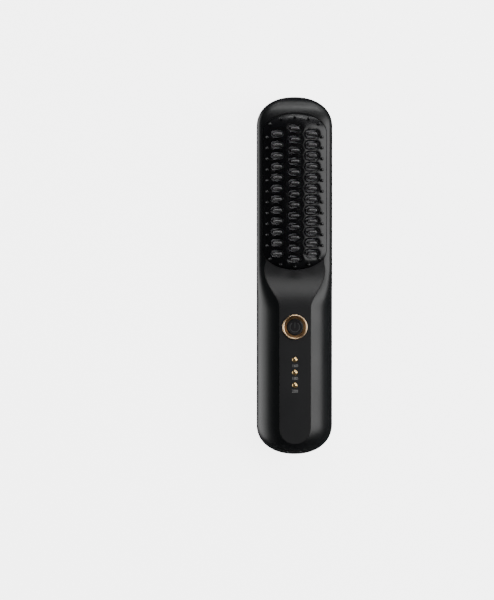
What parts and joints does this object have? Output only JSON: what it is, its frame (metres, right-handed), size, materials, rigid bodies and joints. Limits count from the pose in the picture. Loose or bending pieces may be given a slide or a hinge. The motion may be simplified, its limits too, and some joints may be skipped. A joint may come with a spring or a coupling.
{
  "type": "hair straightening brush",
  "caption": "Cordless hair straightening brush with a crowned comb plate of staggered heated teeth, a press button in a ring and a charging socket.",
  "frame": {"origin": "middle of the flat strip on the back that the brush rests on, at the centre of its length and width", "axes": "+Y along the length toward the head, +Z out of the toothed front, +X to the right when the front is seen with the head up"},
  "size_m": [0.0434, 0.205, 0.036],
  "materials": {
    "housing_black": "satin black moulded plastic",
    "panel_black": "matte black moulded plastic",
    "plate_black": "semi-gloss black heat-resistant plastic",
    "aluminium": "plain die-cast",
    "tooth_metal": "black ceramic-coated aluminium",
    "tip_black": "semi-gloss black heat-resistant plastic",
    "ceramic": "white ceramic element",
    "insulation": "amber insulating film",
    "steel": "plated steel",
    "inner_plastic": "black engineering plastic",
    "champagne": "champagne anodised metal, turned",
    "button_black": "matte black moulded plastic",
    "light_gold": "gold-tinted clear plastic",
    "led_white": "white surface-mount light",
    "board_green": "green solder mask",
    "cell_wrap": null,
    "foam": "grey foam",
    "wire_insulation": "silicone insulated wire"
  },
  "bodies": {
    "housing": {"back_shell": "housing_black", "front_cover": "housing_black", "front_panel": "panel_black", "comb_plate": "plate_black", "guard_pins": "plate_black", "heater_plate": "aluminium", "teeth_middle": "tooth_metal", "teeth_left": "tooth_metal", "teeth_right": "tooth_metal", "tips_middle": "tip_black", "tips_left": "tip_black", "tips_right": "tip_black", "heating_elements": "ceramic", "insulation_sheet": "insulation", "pressure_plate": "steel", "heater_tray": "inner_plastic", "thermal_fuse": "steel", "temperature_sensor": "inner_plastic", "tray_screws": "steel", "housing_screws": "steel", "button_ring": "champagne", "switch_base": "inner_plastic", "switch_dome": "steel", "switch_frame": "steel", "light_pipes": "light_gold", "indicator_leds": "led_white", "circuit_board": "board_green", "controller_chip": "inner_plastic", "power_transistor": "inner_plastic", "charge_socket": "steel", "socket_tongue": "inner_plastic", "battery_cell": "cell_wrap", "battery_tabs": "steel", "battery_pad": "foam", "battery_leads": "wire_insulation", "heater_leads": "wire_insulation"},
    "button": {"power_button": "button_black"},
    "plunger": {"switch_plunger": "inner_plastic"}
  },
  "joints": [
    {"name": "button_press", "type": "slide", "parent": "housing", "child": "button", "axis": [0, 0, -1], "range_m": [0, 0.0005], "stiffness_N_per_m": 1500},
    {"name": "plunger_press", "type": "slide", "parent": "housing", "child": "plunger", "axis": [0, 0, -1], "range_m": [0, 0.0005], "deforming": ["switch_dome"]}
  ],
  "couplings": [
    {"joint": "plunger_press", "follows": "button_press", "ratio": 1}
  ]
}
